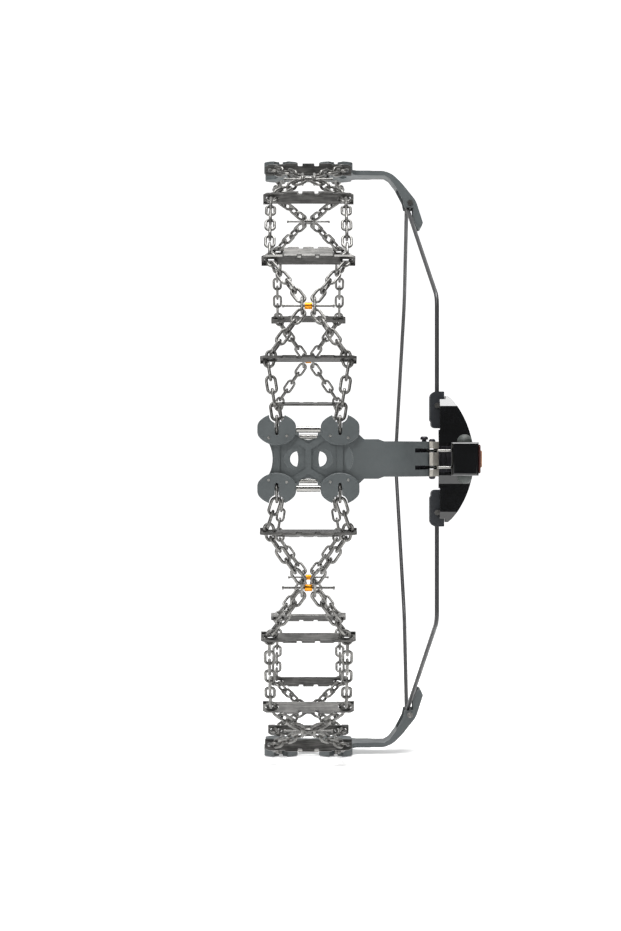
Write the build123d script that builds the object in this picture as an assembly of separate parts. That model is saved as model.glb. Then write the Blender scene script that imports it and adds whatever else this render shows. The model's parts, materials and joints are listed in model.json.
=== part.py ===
from build123d import *
from math import asin, atan, cos, degrees, pi, radians, sin, sqrt
import os

# Externally mounted tyre chain, in millimetres, in the shape it takes on the wheel.
# The origin is on the wheel's axis at the middle of the chain net. +X points along the axis to
# the outer side of the wheel, and +Z points up. Each quarter of the net is drawn in a flat local
# frame (x along the axis, y along the tread, z outwards from the axis) and then turned about X.

# ---- the tyre that the net is sized for -----------------------------------------------------
TYRE_RADIUS = 343.0
SEAT_GAP = 0.5                      # between the tread and the plates and bars
QUARTERS = 4
QUARTER_NAMES = ["front_top", "top_back", "back_bottom", "bottom_front"]
PLATE_NAMES = ["front", "top", "back", "bottom"]

# ---- chain --------------------------------------------------------------------------------
WIRE = 3.3                          # link wire diameter
LINK_GAP = 6.2                      # inner width of a link
LINK_PLAY = 0.6                     # lengthwise play in each joint of the chain
CHAIN_RADIUS = TYRE_RADIUS + 6.5    # of the chain's centre line
PLATE_STRAND_X = 33.0               # half the distance between the strands at the plates
BAR_STRAND_X = 40.3                 # and at the grip bars
CROSS_STRAND_X = 6.8                # and where they meet at a cross pin
BAR_LINK_TURN = 14.0                # degrees that a link turns where it passes through a bar
RUN_PLATE_BAR = 4                   # loose links between one held link and the next
RUN_DIAGONAL = 4
RUN_PARALLEL = 7
RUN_BAR_PLATE = 2

# ---- grip bars ----------------------------------------------------------------------------
BAR_LENGTH = 101.5
BAR_THICK = 3.0
BAR_BASE = TYRE_RADIUS + SEAT_GAP
BAR_TOP = TYRE_RADIUS + 14.5
BAR_DROOP = 2.2                     # the bar's upper corners are cut down by this much
BAR_TOOTH_STEP = 1.5                # the teeth stand this much above the ends
BAR_TOOTH = 14.0
BAR_NOTCH = 5.5
BAR_NOTCH_DEPTH = 3.2
BAR_WINDOW = (14.6, 5.0)            # along the bar, and outwards
BAR_FOOT = (9.0, 6.8, 1.4)          # along the bar, along the tread, thickness

# ---- cross pins -----------------------------------------------------------------------------
CROSS_PIN_RADIUS = 1.25
CROSS_PIN_LENGTH = 56.0
CROSS_PIN_HEAD = (1.9, 2.2)         # radius, thickness
SPACER = (8.4, 7.3)                 # length, diameter
PIN_FIT = 0.05                      # radial clearance of a pin in its hole

# ---- traction plates --------------------------------------------------------------------------
PLATE_BASE = TYRE_RADIUS + SEAT_GAP
PLATE_WEB_TOP = PLATE_BASE + 5.5
PLATE_TOP = PLATE_BASE + 7.3
BOSS_TOP = PLATE_BASE + 11.5
COVER_THICK = 1.5
DISC_T = 30.8                       # disc centres along the tread, and the anchor pins
DISC_SIZE = (40.3, 33.0)
DISC_ARC = 24.3
DISC_CORNER = 9.0
SLOT_WIDTH = 4.2
FUNNEL_RADIUS = 8.1                 # round mouth of the slot, for a strand's second link
FUNNEL_FLARE = 5.0                  # how much it widens on each side over the next link's length
FUNNEL_TAPER = (10.0, 6.55)         # width behind the mouth, start from the anchor pin's centre
ANCHOR_RADIUS = 2.0
ANCHOR_LENGTH = 98.0
SLEEVE_RADIUS = 3.5
SLEEVE_GAP = 0.5
RIVET_RADIUS = 1.1
RIVET_HEAD = (1.4, 0.8)
RIVET_SPOTS = [(-8.3, 8.9), (10.4, 6.9)]   # from the disc's centre, towards the plate's middle
ARM_HALF = 18.5
ARM_NECK_HALF = 20.7
INNER_SCOOP = (-73.2, 35.8)         # place and radius of the round cut at the plate's inboard end
SIDE_SCOOP = (39.4, 19.3)           # and of those between the discs
WINDOW_ARCS = (14.9, 10.6, 36.7, 26.0)   # place and radius of a window's two arcs
LENS_ARCS = (42.25, 13.95, 18.4)    # middle, offset and radius of the lens-shaped opening
RIB_WIDTH = 6.4
RIB_SLANT = (9.5, 18.0, 25.0, 32.0) # place, length and slant of the slanting ribs
COVER_EDGE = 0.7

# ---- arm and its bracket, as (axial place, distance from the wheel's axis) --------------------
ARM_START = 80.0                    # inside the plate's own web
CHEEK_WALL = 3.5
PIVOT_AXIAL = 123.0
PIVOT_HEIGHT = TYRE_RADIUS - 33.0
PIVOT_RADIUS = 2.5
PIVOT_HEAD = (3.4, 1.6)
STUD_PLACE = (132.7, 52.5)          # on the front arm's end: axial, and below the tread
STUD_RADIUS = 2.0
STUD_HEAD = (3.6, 3.2)              # radius, height of the domed head

# ---- rods ---------------------------------------------------------------------------------
ROD_RADIUS = 2.4
ROD_EYE = (5.2, 5.0)                # outer radius, thickness
ROD_EYE_PLAY = 0.45                 # open pivot of the closed linkage
ROD_EYE_OFFSET = 6.0                # from the bracket's middle
ROD_EYE_JOIN = (3.0, 4.2)           # where a rod runs into its eye, from the eye's centre
ROD_AXIAL = 142.4
ROD_DEPTH = TYRE_RADIUS - 123.0      # distance of the upright stretch in front of the axis
ROD_BEND_HEIGHT = TYRE_RADIUS - 163.0
ROD_BEND = 18.0
BACK_ROD_AXIAL = 127.0
BACK_ROD_CORNER = TYRE_RADIUS * 206 / 343   # keeps the same slope on any tyre
BACK_ROD_BEND = 70.0

# ---- tensioner on the front arm -----------------------------------------------------------------
GUIDE_RADIUS = 1.3
GUIDE_SPREAD = 9.0
GUIDE_SLOT_HALF = 2.1
GUIDE_DEPTH = TYRE_RADIUS - 53.0
GUIDE_START = 121.0
SLIDER_HALF = 11.6
SLIDE_ROOM = 4.6                    # left for the slider's travel, in front of it
FRAME_INNER = 154.0
FRAME_OUTER = 179.5
FRAME_WALL = 2.0
FRAME_HALF = 15.0
FRAME_WEB = 2.6                     # thickness of the web that holds the guide pins
NECK_START = 138.5                  # the frame's neck reaches in under the end of the arm
NECK_DEPTH = GUIDE_DEPTH - 12.8
NECK_HALF = 14.0
NECK_GROOVES = [142.3, 147.2]       # axial places of its grooves
NECK_GROOVE = (1.6, 2.5)            # width, depth
LEVER_ROUND = 3.0
LEVER_EYE = 8.5                     # round end of the lever's cheeks, about the drum's axle
LEVER_GAP = 0.5                     # between the frame's cheeks and the lever's
LEVER_FOOT = (18.0, 14.0)           # how far the lever's walls stop short of the axle
BOW_DEPTH = (TYRE_RADIUS - 121.0, TYRE_RADIUS - 93.0)
BOW_FRONT = BOW_DEPTH[0] + 12.0       # the front layer reaches in over the end blocks from here
BOW_CHORD = 150.5
BOW_LIP = 144.0
BOW_TONGUE = 139.8
BOW_CREST = 181.0
BOW_HALF = 69.5
BOW_SHOULDER = (157.3, 65.7)        # axial place and height of the bow's outer corners
BOW_RIDGE = (6.0, 58.0, 27.0, 18.0) # drop of the ends, and the heights where its face slopes
BLOCK_AXIAL = (134.0, 149.8)
BLOCK_HEIGHT = (34.0, 74.5)
BLOCK_DEPTH = (BOW_DEPTH[0] - 10.0, BOW_DEPTH[0] + 9.0)
BLOCK_PIVOT = (142.0, 59.0)
BLOCK_SCREW_RADIUS = 2.0
BLOCK_SCREW_HEAD = (3.0, 2.0)       # radius, thickness
BLOCK_GAP = 0.3                     # under the screw's head
EAR_THICK = 3.5
DRUM_AXIAL = 169.8
DRUM_TEETH = 12
DRUM_PITCH_RADIUS = 9.0
DRUM_DEPTH = BOW_DEPTH[1] + FRAME_WALL + DRUM_PITCH_RADIUS + 1.0
DRUM_HALF = 12.0
DRUM_TOOTH = (0.9, 0.5, 3.1)        # half widths at the root and the tip, height
STRAP_CLEAR = 1.2                   # between the drum's root and the strap, half of it each side
PAWL_REACH = 7.0                    # from the pawl's pin to its tip
PAWL_EYE = 2.8
PAWL_HALF = 8.0
AXLE_RADIUS = 3.0
AXLE_HALF = 21.0
PAWL_OFFSET = (4.2, 13.8)           # of the pawl's pin from the drum's axis
PAWL_PIN_RADIUS = 1.5
LEVER_WALL = 2.5
LEVER_FRONT = DRUM_DEPTH + 39.0
LEVER_CAP = 2.0                     # thickness of the cap on the lever's outboard wall
BUTTON_HALF = (4.9, 9.4)            # half sizes across the lever and along its axis
BUTTON_PROUD = 2.2
BUTTON_PLAY = 0.3
BUTTON_DEPTH = LEVER_FRONT - 13.0
LEVER_AXIAL = (152.8, 182.0)
STRAP_HALF = 9.0
STRAP_THICK = 2.4
STRAP_TAIL = DRUM_DEPTH + 32.0
STRAP_EYE = 5.0
STRAP_TOOTH = (0.9, 0.5)            # height, half width
KNOB_RADIUS = 8.2
KNOB_HEIGHT = 8.5
SOCKET_DEPTH = 57.15                # half of a 114.3 mm bolt circle
SOCKET_MOUTH = 70.0
SOCKET_RADIUS = 11.5
SOCKET_WALL = 3.0
SOCKET_HOLE = 14.0
STEM_RADIUS = 9.0                   # of the adapter's stem, and of the head past the strap's eye
STEM_HEAD = 3.7


def box(x0, x1, y0, y1, z0, z1):
    """A block between two opposite corners."""
    size = (x1 - x0, y1 - y0, z1 - z0)
    middle = ((x0 + x1) / 2, (y0 + y1) / 2, (z0 + z1) / 2)
    return Pos(*middle) * Box(*size)


def rounded(points, radii):
    """A closed outline whose corners have the given radii; 0 leaves a corner sharp."""
    face = make_face(Polyline(points, close=True))
    for point, radius in zip(points, radii):
        if radius > 0:
            corner = face.vertices().sort_by_distance(Vector(point[0], point[1], 0))[0]
            face = fillet(corner, radius)
    return face


def rod_along_x(radius, x0, x1, y=0.0, z=0.0):
    return Pos((x0 + x1) / 2, y, z) * Rot(Y=90) * Cylinder(radius, x1 - x0)


def rod_along_y(radius, y0, y1, x=0.0, z=0.0):
    return Pos(x, (y0 + y1) / 2, z) * Rot(X=90) * Cylinder(radius, y1 - y0)


def rod_along_z(radius, z0, z1, x=0.0, y=0.0):
    return Pos(x, y, (z0 + z1) / 2) * Cylinder(radius, z1 - z0)


def turned(shape, quarter):
    """Turns a shape from the flat local frame to its place round the wheel."""
    return Rot(X=90 - 90 * quarter) * shape


def save(shapes, name):
    group = shapes if isinstance(shapes, list) else [shapes]
    solids = []
    for shape in group:
        solids += list(shape.solids())
    whole = solids[0] if len(solids) == 1 else Compound(children=solids)
    whole.label = name
    export_step(whole, "parts/" + name + ".step")


# ---- chain strands ----------------------------------------------------------------------------
def first_joint():
    """Distance along the tread, from the plate's middle, of a strand's first joint."""
    return DISC_T - ANCHOR_RADIUS - LINK_PLAY / 2


def strand_angles(pitch):
    """Side angle of each link of one quarter strand, in degrees from the tread's direction."""
    held = pitch * sin(radians(BAR_LINK_TURN)) / 2

    def run(start, end, count):
        return [degrees(asin((end - start) / (count * pitch)))] * count

    outwards = run(PLATE_STRAND_X, BAR_STRAND_X + held, RUN_PLATE_BAR)
    inwards = run(BAR_STRAND_X - held, CROSS_STRAND_X, RUN_DIAGONAL)
    back_out = [-angle for angle in inwards]
    to_plate = run(BAR_STRAND_X + held, PLATE_STRAND_X, RUN_BAR_PLATE)
    crossing = [-BAR_LINK_TURN] + inwards + [0.0] + back_out + [BAR_LINK_TURN]
    return [0.0] + outwards + crossing + [0.0] * RUN_PARALLEL + crossing + to_plate + [0.0]


def strand_turn(pitch):
    """Angle about the wheel's axis that one quarter strand covers, in degrees."""
    steps = strand_angles(pitch)
    return sum(degrees(2 * asin(pitch * cos(radians(angle)) / (2 * CHAIN_RADIUS))) for angle in steps)


def closing_pitch():
    """The link pitch that makes a quarter strand reach from one plate to the next."""
    wanted = 360.0 / QUARTERS - 2 * degrees(atan(first_joint() / CHAIN_RADIUS))
    low = BAR_STRAND_X / RUN_DIAGONAL
    high = CHAIN_RADIUS / 4
    for _ in range(60):
        middle = (low + high) / 2
        if strand_turn(middle) > wanted:
            high = middle
        else:
            low = middle
    return low


PITCH = closing_pitch()


def on_tread(x, degrees_round, radius=CHAIN_RADIUS):
    angle = radians(degrees_round)
    return Vector(x, radius * sin(angle), radius * cos(angle))


def strand_joints():
    """Points where neighbouring links of one strand touch, and the angle of each."""
    start = degrees(atan(first_joint() / CHAIN_RADIUS))
    x = PLATE_STRAND_X
    turn = start
    joints = [(x, turn)]
    for angle in strand_angles(PITCH):
        x += PITCH * sin(radians(angle))
        turn += degrees(2 * asin(PITCH * cos(radians(angle)) / (2 * CHAIN_RADIUS)))
        joints.append((x, turn))
    return joints


def link():
    """One oblong link in the XY plane, its length along X."""
    path = SlotOverall(PITCH + LINK_PLAY + WIRE, LINK_GAP + WIRE).face().outer_wire()
    start = Plane(origin=path @ 0, z_dir=path % 0)
    return sweep(start * Circle(WIRE / 2), path=path)


def strand(side):
    """All links of one strand of the first quarter; side is 1 outboard and -1 inboard."""
    pattern = link()
    joints = strand_joints()
    end_lift = 1 / cos(radians(joints[0][1]))
    links = []
    for index in range(len(joints) - 1):
        near_x, near_turn = joints[index]
        far_x, far_turn = joints[index + 1]
        near_lift = end_lift if index == 0 else 1.0
        far_lift = end_lift if index == len(joints) - 2 else 1.0
        near = on_tread(side * near_x, near_turn, CHAIN_RADIUS * near_lift)
        far = on_tread(side * far_x, far_turn, CHAIN_RADIUS * far_lift)
        along = (far - near).normalized()
        out = on_tread(0, (near_turn + far_turn) / 2).normalized()
        edge_on = along.cross(out).normalized()
        normal = edge_on if index % 2 == 0 else edge_on.cross(along)
        links.append(Plane(origin=(near + far) * 0.5, x_dir=along, z_dir=normal).location * pattern)
    return links


def held_turns(first, step, count):
    """Angles about the axis of held links: their place in the strand counts from the plate."""
    joints = strand_joints()
    return [(joints[first + i * step][1] + joints[first + i * step + 1][1]) / 2 for i in range(count)]


def bar_turns():
    first = 1 + RUN_PLATE_BAR
    across = 2 * RUN_DIAGONAL + 2
    lower = held_turns(first, across, 2)
    upper = held_turns(first + across + RUN_PARALLEL + 1, across, 2)
    return lower + upper


def cross_turns():
    first = 2 + RUN_PLATE_BAR + RUN_DIAGONAL
    return held_turns(first, 2 * RUN_DIAGONAL + RUN_PARALLEL + 3, 2)


# ---- grip bars ----------------------------------------------------------------------------------
def grip_bar():
    """A toothed bar on edge, its middle at x = y = 0 and its height measured from the axis."""
    half = BAR_LENGTH / 2
    teeth_half = 1.5 * BAR_TOOTH + BAR_NOTCH
    low = BAR_TOP - BAR_TOOTH_STEP
    outline = [
        (-half, BAR_BASE), (half, BAR_BASE), (half, low - BAR_DROOP), (half - 4, low),
        (teeth_half + 1.5, low), (teeth_half, BAR_TOP), (-teeth_half, BAR_TOP),
        (-teeth_half - 1.5, low), (4 - half, low), (-half, low - BAR_DROOP),
    ]
    profile = make_face(Polyline(outline, close=True))
    notch_x = BAR_TOOTH / 2 + BAR_NOTCH / 2
    for side in (-1, 1):
        notch = Pos(side * notch_x, BAR_TOP) * Rectangle(BAR_NOTCH, 2 * BAR_NOTCH_DEPTH)
        profile -= fillet(notch.vertices(), 1.2)
        window = RectangleRounded(BAR_WINDOW[0], BAR_WINDOW[1], 1.5)
        profile -= Pos(side * BAR_STRAND_X, CHAIN_RADIUS) * window
    bar = extrude(Plane.XZ * profile, BAR_THICK / 2, both=True)
    for side in (-1, 1):
        outer = side * half
        inner = side * (half - BAR_FOOT[0])
        low_x = min(outer, inner)
        bar += box(low_x, low_x + BAR_FOOT[0], -BAR_FOOT[1] / 2, BAR_FOOT[1] / 2,
                   BAR_BASE, BAR_BASE + BAR_FOOT[2])
    return bar


def at_turn(shape, turn):
    return Rot(X=-turn) * shape


# ---- cross pins ----------------------------------------------------------------------------------
def cross_pin():
    half = CROSS_PIN_LENGTH / 2
    pin = rod_along_x(CROSS_PIN_RADIUS, -half, half, z=CHAIN_RADIUS)
    for side in (-1, 1):
        inner = side * (half - CROSS_PIN_HEAD[1])
        ends = sorted([inner, side * half])
        pin += rod_along_x(CROSS_PIN_HEAD[0], ends[0], ends[1], z=CHAIN_RADIUS)
    return pin


def spacer():
    half = SPACER[0] / 2
    body = rod_along_x(SPACER[1] / 2, -half, half, z=CHAIN_RADIUS)
    body = chamfer(body.edges().filter_by(GeomType.CIRCLE), 0.6)
    return body - rod_along_x(CROSS_PIN_RADIUS + PIN_FIT, -half - 1, half + 1, z=CHAIN_RADIUS)


# ---- traction plate ------------------------------------------------------------------------------
def disc_outline():
    lift = DISC_ARC - DISC_SIZE[1] / 2
    arcs = (Pos(0, -lift) * Circle(DISC_ARC)) & (Pos(0, lift) * Circle(DISC_ARC))
    disc = arcs & Rectangle(*DISC_SIZE)
    return fillet(disc.vertices(), DISC_CORNER)


def link_slot(side_t):
    """Plan of the slot and funnel that take a strand's first links, from the disc's centre."""
    past = ANCHOR_RADIUS + WIRE + LINK_PLAY + 0.9
    half = SLOT_WIDTH / 2
    mouth = first_joint() + PITCH - DISC_T + (LINK_GAP - LINK_PLAY) / 2
    taper_half = FUNNEL_TAPER[0] / 2
    taper_start = FUNNEL_TAPER[1]
    slot = make_face(Polyline([
        (-half, -past), (half, -past), (half, taper_start), (taper_half, mouth - 5.0),
        (taper_half, mouth), (-taper_half, mouth), (-taper_half, mouth - 5.0),
        (-half, taper_start)], close=True))
    slot += Pos(0, mouth) * Circle(FUNNEL_RADIUS)
    wide = FUNNEL_RADIUS + FUNNEL_FLARE
    slot += make_face(Polyline([
        (-FUNNEL_RADIUS, mouth), (FUNNEL_RADIUS, mouth), (wide, mouth + PITCH), (-wide, mouth + PITCH)],
        close=True))
    return slot if side_t > 0 else Rot(Z=180) * slot


def disc_places():
    return [(side_x, side_t) for side_x in (-1, 1) for side_t in (-1, 1)]


def disc_slots():
    cuts = []
    for side_x, side_t in disc_places():
        place = Pos(side_x * PLATE_STRAND_X, side_t * DISC_T)
        cuts.append(place * link_slot(side_t))
    return cuts


def raised(sketch, low, high):
    return Pos(0, 0, low) * extrude(sketch, high - low)


def plate_outline():
    """Plan of the plate without its discs: a waisted web that runs out into the arm."""
    half = [(50, DISC_T), (52.6, 26), (58.2, ARM_NECK_HALF), (73.1, ARM_NECK_HALF), (79, ARM_HALF),
            (ARM_START + 6, ARM_HALF)]
    mirrored = [(x, -t) for x, t in reversed(half)]
    outline = make_face(Polyline([(-48, DISC_T)] + half + mirrored + [(-48, -DISC_T)], close=True))
    outline -= Pos(INNER_SCOOP[0], 0) * Circle(INNER_SCOOP[1])
    for side in (-1, 1):
        outline -= Pos(0, side * SIDE_SCOOP[0]) * Circle(SIDE_SCOOP[1])
    return outline


def plate_windows():
    """The two round-backed openings and the lens-shaped one."""
    cuts = []
    round_place, round_radius, far_place, far_radius = WINDOW_ARCS
    for side in (-1, 1):
        back = Pos(side * round_place, 0) * Circle(round_radius)
        cuts.append(back & (Pos(side * far_place, 0) * Circle(far_radius)))
    middle, offset, radius = LENS_ARCS
    cuts.append((Pos(middle - offset, 0) * Circle(radius)) & (Pos(middle + offset, 0) * Circle(radius)))
    return cuts


def plate_ribs():
    """Raised ribs: one down the middle, one between each pair of discs, four slanting."""
    x, t, length, slant = RIB_SLANT
    ribs = Rectangle(RIB_WIDTH, 26.0)
    for side in (-1, 1):
        ribs += Pos(side * PLATE_STRAND_X, 0) * Rectangle(RIB_WIDTH, 2 * DISC_T - 16)
        for end in (-1, 1):
            ribs += Pos(side * x, end * t) * Rot(Z=side * end * slant) * Rectangle(length, RIB_WIDTH)
    return ribs


def arm_silhouette():
    """The arm and bracket seen along the tread, as (axial, height) points and their corner radii."""
    drop = TYRE_RADIUS
    corners = [
        ((ARM_START, PLATE_WEB_TOP), 0), ((97.5, PLATE_WEB_TOP), 28.0), ((112.5, drop - 8.2), 90.0),
        ((130.2, drop - 30.2), 24.0), ((138.8, drop - 57.0), 2.5), ((136.4, drop - 62.8), 1.5),
        ((132.0, drop - 63.6), 1.5), ((123.6, drop - 43.0), 2.0), ((117.6, drop - 44.0), 1.5),
        ((114.6, drop - 30.0), 8.0), ((106.0, drop - 13.5), 8.0), ((98.0, drop - 3.0), 6.0),
        ((92.0, PLATE_BASE), 0), ((ARM_START, PLATE_BASE), 0),
    ]
    return rounded([place for place, _ in corners], [radius for _, radius in corners])


def arm_hollow():
    """The space between the bracket's cheeks, open towards the tyre."""
    drop = TYRE_RADIUS
    points = [
        (113.0, drop - 11.6), (128.4, drop - 30.8), (135.4, drop - 57.0),
        (134.0, drop - 70.0), (100, drop - 70.0), (100, drop - 20.0),
    ]
    return make_face(Polyline(points, close=True))


def along_tread(sketch, half):
    """Extrudes an (axial, height) sketch both ways along the tread."""
    return extrude(Plane.XZ * sketch, half, both=True)


def arm():
    body = along_tread(arm_silhouette(), ARM_HALF)
    body -= along_tread(arm_hollow(), ARM_HALF - CHEEK_WALL)
    body -= rod_along_y(PIVOT_RADIUS + PIN_FIT, -ARM_HALF - 1, ARM_HALF + 1,
                        PIVOT_AXIAL, PIVOT_HEIGHT)
    notch_top = PIVOT_HEIGHT - PIVOT_RADIUS - 3.0
    return body - box(110, 127, -ARM_HALF - 1, ARM_HALF + 1, notch_top - 12, notch_top)


def plate_body(front):
    outline = plate_outline()
    web = raised(outline, PLATE_BASE, PLATE_WEB_TOP)
    web += raised(plate_ribs() & outline, PLATE_WEB_TOP - 0.1, PLATE_TOP)
    for side_x, side_t in disc_places():
        disc = Pos(side_x * PLATE_STRAND_X, side_t * DISC_T) * disc_outline()
        web += raised(disc, PLATE_BASE, BOSS_TOP)
    for cut in plate_windows() + disc_slots():
        web -= raised(cut, PLATE_BASE - 1, BOSS_TOP + 1)
    web += arm()
    half = ANCHOR_LENGTH / 2
    for side in (-1, 1):
        web -= rod_along_x(ANCHOR_RADIUS + PIN_FIT, -half - 0.5, half + 0.5, side * DISC_T, CHAIN_RADIUS)
        sleeve_room = PLATE_STRAND_X - DISC_SIZE[0] / 2
        web -= rod_along_x(SLEEVE_RADIUS + 0.6, -sleeve_room, sleeve_room, side * DISC_T, CHAIN_RADIUS)
    for x, t in rivet_places():
        web -= rod_along_z(RIVET_RADIUS + PIN_FIT, BOSS_TOP - 5, BOSS_TOP + 1, x, t)
    if front:
        web = front_arm_cuts(web)
    return web


def front_arm_cuts(web):
    """Two slots and two guide holes in the front arm, for the tensioner's guide pins."""
    for side in (-1, 1):
        t = side * GUIDE_SPREAD
        web -= box(112, 137, t - GUIDE_SLOT_HALF, t + GUIDE_SLOT_HALF, GUIDE_DEPTH - 2, TYRE_RADIUS + 6)
        web -= rod_along_x(GUIDE_RADIUS + PIN_FIT, 125, 142, t, GUIDE_DEPTH)
    x, height = STUD_PLACE[0], TYRE_RADIUS - STUD_PLACE[1]
    return web - rod_along_y(STUD_RADIUS + PIN_FIT, -ARM_HALF - 1, ARM_HALF + 1, x, height)


def rivet_places():
    places = []
    for side_x, side_t in disc_places():
        for dx, dt in RIVET_SPOTS:
            outward = dx if side_x < 0 else -dx
            places.append((side_x * PLATE_STRAND_X + outward, side_t * (DISC_T - dt)))
    return places


def slot_covers():
    covers = []
    for side_x, side_t in disc_places():
        cover = raised(disc_outline(), BOSS_TOP, BOSS_TOP + COVER_THICK)
        top = cover.faces().sort_by(Axis.Z)[-1]
        cover = chamfer(top.edges(), COVER_EDGE)
        cover -= raised(link_slot(side_t), BOSS_TOP - 1, BOSS_TOP + COVER_THICK + 1)
        cover = Pos(side_x * PLATE_STRAND_X, side_t * DISC_T) * cover
        for x, t in rivet_places():
            cover -= rod_along_z(RIVET_RADIUS + PIN_FIT, BOSS_TOP - 1, BOSS_TOP + COVER_THICK + 1, x, t)
        covers.append(cover)
    return covers


def rivets():
    top = BOSS_TOP + COVER_THICK
    group = []
    for x, t in rivet_places():
        shank = rod_along_z(RIVET_RADIUS, BOSS_TOP - 4.5, top, x, t)
        group.append(shank + rod_along_z(RIVET_HEAD[0], top, top + RIVET_HEAD[1], x, t))
    return group


def anchor_pins():
    half = ANCHOR_LENGTH / 2
    return [rod_along_x(ANCHOR_RADIUS, -half, half, side * DISC_T, CHAIN_RADIUS) for side in (-1, 1)]


def anchor_sleeves():
    half = PLATE_STRAND_X - DISC_SIZE[0] / 2 - SLEEVE_GAP
    group = []
    for side in (-1, 1):
        tube = rod_along_x(SLEEVE_RADIUS, -half, half, side * DISC_T, CHAIN_RADIUS)
        bore = rod_along_x(ANCHOR_RADIUS + PIN_FIT, -half - 1, half + 1, side * DISC_T, CHAIN_RADIUS)
        group.append(tube - bore)
    return group


def pivot_pin():
    """Pin through a bracket's cheeks, with a head outside each."""
    pin = rod_along_y(PIVOT_RADIUS, -ARM_HALF, ARM_HALF, PIVOT_AXIAL, PIVOT_HEIGHT)
    for side in (-1, 1):
        ends = sorted([side * ARM_HALF, side * (ARM_HALF + PIVOT_HEAD[1])])
        pin += rod_along_y(PIVOT_HEAD[0], ends[0], ends[1], PIVOT_AXIAL, PIVOT_HEIGHT)
    return pin


# ---- rods ----------------------------------------------------------------------------------------
def rod_path(points, bend):
    path = FilletPolyline(*points, radius=bend)
    start = Plane(origin=path @ 0, z_dir=path % 0)
    return sweep(start * Circle(ROD_RADIUS), path=path)


def rod_eye(x, y, z):
    """An eye whose hole runs along Y."""
    half = ROD_EYE[1] / 2
    return rod_along_y(ROD_EYE[0], y - half, y + half, x, z)


def eye_hole(x, y, z):
    return rod_along_y(PIVOT_RADIUS + ROD_EYE_PLAY, y - ROD_EYE[1], y + ROD_EYE[1], x, z)


def front_rod():
    """The upper front rod: up from its block, then back and in to the top arm's bracket."""
    eye_y = -ROD_EYE_OFFSET
    end = (PIVOT_AXIAL - ROD_EYE_JOIN[0], eye_y, PIVOT_HEIGHT - ROD_EYE_JOIN[1])
    foot = (ROD_AXIAL, -ROD_DEPTH, BLOCK_PIVOT[1] + BLOCK_SCREW_RADIUS + 1.5)
    points = [foot, (ROD_AXIAL, -ROD_DEPTH, ROD_BEND_HEIGHT), end]
    body = rod_path(points, ROD_BEND) + rod_eye(PIVOT_AXIAL, eye_y, PIVOT_HEIGHT)
    return body - eye_hole(PIVOT_AXIAL, eye_y, PIVOT_HEIGHT)


def back_rod():
    """The upper back rod, from the top arm's bracket to the back arm's."""
    offset = ROD_EYE_OFFSET
    low = PIVOT_HEIGHT - ROD_EYE_JOIN[1]
    side = PIVOT_AXIAL - ROD_EYE_JOIN[0]
    points = [(side, offset, low), (BACK_ROD_AXIAL, BACK_ROD_CORNER, BACK_ROD_CORNER), (side, low, offset)]
    body = rod_path(points, BACK_ROD_BEND)
    body += rod_eye(PIVOT_AXIAL, offset, PIVOT_HEIGHT)
    half = ROD_EYE[1] / 2
    body += rod_along_z(ROD_EYE[0], offset - half, offset + half, PIVOT_AXIAL, PIVOT_HEIGHT)
    body -= eye_hole(PIVOT_AXIAL, offset, PIVOT_HEIGHT)
    body -= rod_along_z(PIVOT_RADIUS + ROD_EYE_PLAY, offset - ROD_EYE[1], offset + ROD_EYE[1],
                        PIVOT_AXIAL, PIVOT_HEIGHT)
    return body


# ---- tensioner -----------------------------------------------------------------------------------
def guide_pins():
    """The two polished pins between the slider in the front arm and the ratchet frame."""
    end = FRAME_INNER + FRAME_WEB
    return [rod_along_x(GUIDE_RADIUS, GUIDE_START, end, -GUIDE_DEPTH, side * GUIDE_SPREAD)
            for side in (-1, 1)]


def slider():
    """The block that slides inside the front arm's bracket and carries the guide pins.

    Its nose reaches in under the inboard ends of the arm's slots."""
    drop = TYRE_RADIUS
    room = SLIDE_ROOM
    outline = rounded([
        (GUIDE_START - 2, drop - 59.0), (135.2 - room, drop - 57.0), (129.0 - room, drop - 35.0),
        (118.9, drop - 31.0), (118.0, drop - 25.0), (112.0, drop - 25.0), (112.0, drop - 34.0),
        (GUIDE_START - 2, drop - 44.0)], [1, 1, 1, 1, 1, 1, 1, 1])
    body = along_tread(outline, SLIDER_HALF)
    for side in (-1, 1):
        body -= rod_along_x(GUIDE_RADIUS + PIN_FIT, GUIDE_START, 140, side * GUIDE_SPREAD, GUIDE_DEPTH)
    return turned(body, 0)


def crosspiece():
    """A saddle plate on the sloping end of the front arm, slotted for the guide pins."""
    drop = TYRE_RADIUS
    outline = make_face(Polyline([
        (128.2, drop - 25.2), (138.2, drop - 55.0), (140.0, drop - 54.4), (131.8, drop - 25.0)],
        close=True))
    plate = along_tread(outline, ARM_HALF) - along_tread(arm_silhouette(), ARM_HALF + 1)
    for side in (-1, 1):
        t = side * GUIDE_SPREAD
        plate -= box(125, 137.6, t - GUIDE_SLOT_HALF, t + GUIDE_SLOT_HALF, GUIDE_DEPTH - 2, drop)
        plate -= rod_along_x(GUIDE_RADIUS + PIN_FIT, 125, 145, t, GUIDE_DEPTH)
    return turned(plate, 0)


def arm_studs():
    """Domed studs in the two cheeks of the front arm's end."""
    x, height = STUD_PLACE[0], TYRE_RADIUS - STUD_PLACE[1]
    shank = rod_along_y(STUD_RADIUS, ARM_HALF - CHEEK_WALL + 0.2, ARM_HALF + 1, x, height)
    head = rod_along_y(STUD_HEAD[0], ARM_HALF, ARM_HALF + STUD_HEAD[1], x, height)
    rim = head.edges().filter_by(GeomType.CIRCLE).sort_by(Axis.Y)[-1:]
    stud = turned(shank + fillet(rim, STUD_HEAD[1] - 0.8), 0)
    return [stud, mirrored_down(stud)]


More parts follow.
